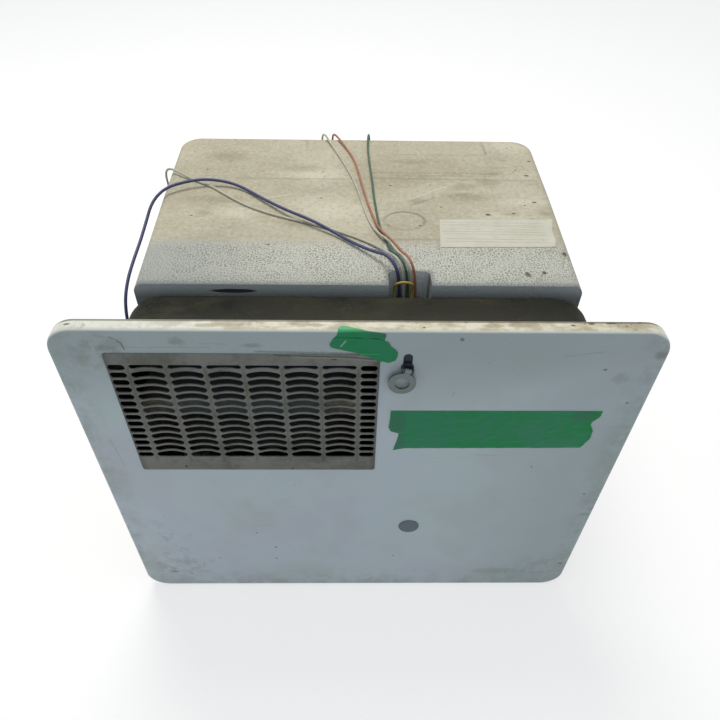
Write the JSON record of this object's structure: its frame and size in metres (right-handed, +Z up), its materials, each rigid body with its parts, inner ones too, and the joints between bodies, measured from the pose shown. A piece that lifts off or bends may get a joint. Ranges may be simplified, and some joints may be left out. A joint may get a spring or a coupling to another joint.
{
  "type": "rv water heater",
  "caption": "Caravan water heater: a foam-jacketed tank behind a sheet pan, with gas burner, electric element, relief valve, loose leads and a hinged louvred door.",
  "frame": {"origin": "on the vehicle wall's outside face (the flange's back), at the middle of the door's width, level with the flange's lower edge", "axes": "+X to the right seen from outside, +Y into the vehicle, +Z up"},
  "size_m": [0.455, 0.4276, 0.3678],
  "materials": {
    "pan_paint": "satin",
    "front_foam": "matte",
    "rear_foam": "matte",
    "tank_aluminium": "satin",
    "plated_sheet": "satin",
    "valve_casting": "matte",
    "black_plastic": "matte",
    "brass": "satin",
    "rubber": "matte",
    "ceramic": "glossy",
    "steel": "satin",
    "board_green": "satin",
    "grey_plastic": "matte",
    "nylon": "matte",
    "pipe_aluminium": "satin",
    "blue_insulation": "satin",
    "white_insulation": "satin",
    "green_insulation": "satin",
    "orange_insulation": "satin",
    "yellow_insulation": "satin",
    "door_paint": "satin",
    "grille_paint": "satin",
    "ring_steel": "satin",
    "rocker_plastic": "glossy"
  },
  "bodies": {
    "housing": {"control_box": "pan_paint", "foam_front": "front_foam", "foam_rear": "rear_foam", "tank": "tank_aluminium", "flue_tube": "tank_aluminium", "flue_box": "plated_sheet", "burner_tube": "plated_sheet", "burner_clamp": "plated_sheet", "gas_valve": "valve_casting", "valve_coils": "black_plastic", "valve_bracket": "plated_sheet", "gas_jet": "brass", "gas_inlet": "brass", "pipe_grommet": "rubber", "spark_insulator": "ceramic", "spark_wire": "steel", "electrode_bracket": "plated_sheet", "circuit_board": "board_green", "board_cover": "black_plastic", "relief_valve": "brass", "relief_pin": "steel", "thermostats": "black_plastic", "thermostat_cover": "grey_plastic", "heating_element": "steel", "element_box": "plated_sheet", "element_box_cover": "plated_sheet", "cover_screw": "steel", "switch_frame": "black_plastic", "drain_plug": "nylon", "hot_water_nipple": "brass", "cold_water_nipple": "brass", "coolant_pipe": "pipe_aluminium", "leads_grommet": "rubber", "hinge_ears": "steel", "latch_strike": "steel", "lead_blue": "blue_insulation", "lead_white_left": "white_insulation", "lead_green": "green_insulation", "lead_white_back": "white_insulation", "lead_orange": "orange_insulation", "lead_earth": "yellow_insulation"},
    "door": {"door_panel": "door_paint", "exhaust_grille": "grille_paint", "door_plug": "grey_plastic", "hinge_tabs": "steel", "hinge_pins": "steel", "latch_plate": "steel"},
    "latch_stud": {"latch_stud": "steel", "latch_washer": "steel", "latch_pin": "steel"},
    "latch_ring": {"latch_ring": "ring_steel"},
    "relief_lever": {"relief_lever": "steel"},
    "air_shutter": {"air_shutter": "plated_sheet"},
    "switch_rocker": {"switch_rocker": "rocker_plastic"}
  },
  "joints": [
    {"name": "door_hinge", "type": "hinge", "parent": "housing", "child": "door", "pos_m": [0, -0.0085, 0.006], "axis": [1, 0, 0], "range_deg": [0, 110]},
    {"name": "latch_turn", "type": "hinge", "parent": "door", "child": "latch_stud", "pos_m": [0.0346, -0.0144, 0.333], "axis": [0, 1, 0], "range_deg": [0, 90]},
    {"name": "ring_flip", "type": "hinge", "parent": "latch_stud", "child": "latch_ring", "pos_m": [0.0346, -0.0175, 0.333], "axis": [-0.9613, 0, 0.2756], "range_deg": [0, 90]},
    {"name": "relief_lever_lift", "type": "hinge", "parent": "housing", "child": "relief_lever", "pos_m": [0.095, 0.05, 0.2814], "axis": [-1, 0, 0], "range_deg": [0, 90]},
    {"name": "air_shutter_turn", "type": "hinge", "parent": "housing", "child": "air_shutter", "pos_m": [-0.009, 0.048, 0.128], "axis": [1, 0, 0], "range_deg": [0, 60]},
    {"name": "switch_rock", "type": "hinge", "parent": "housing", "child": "switch_rocker", "pos_m": [-0.064, 0.049, 0.08], "axis": [1, 0, 0], "range_deg": [0, 16]}
  ]
}
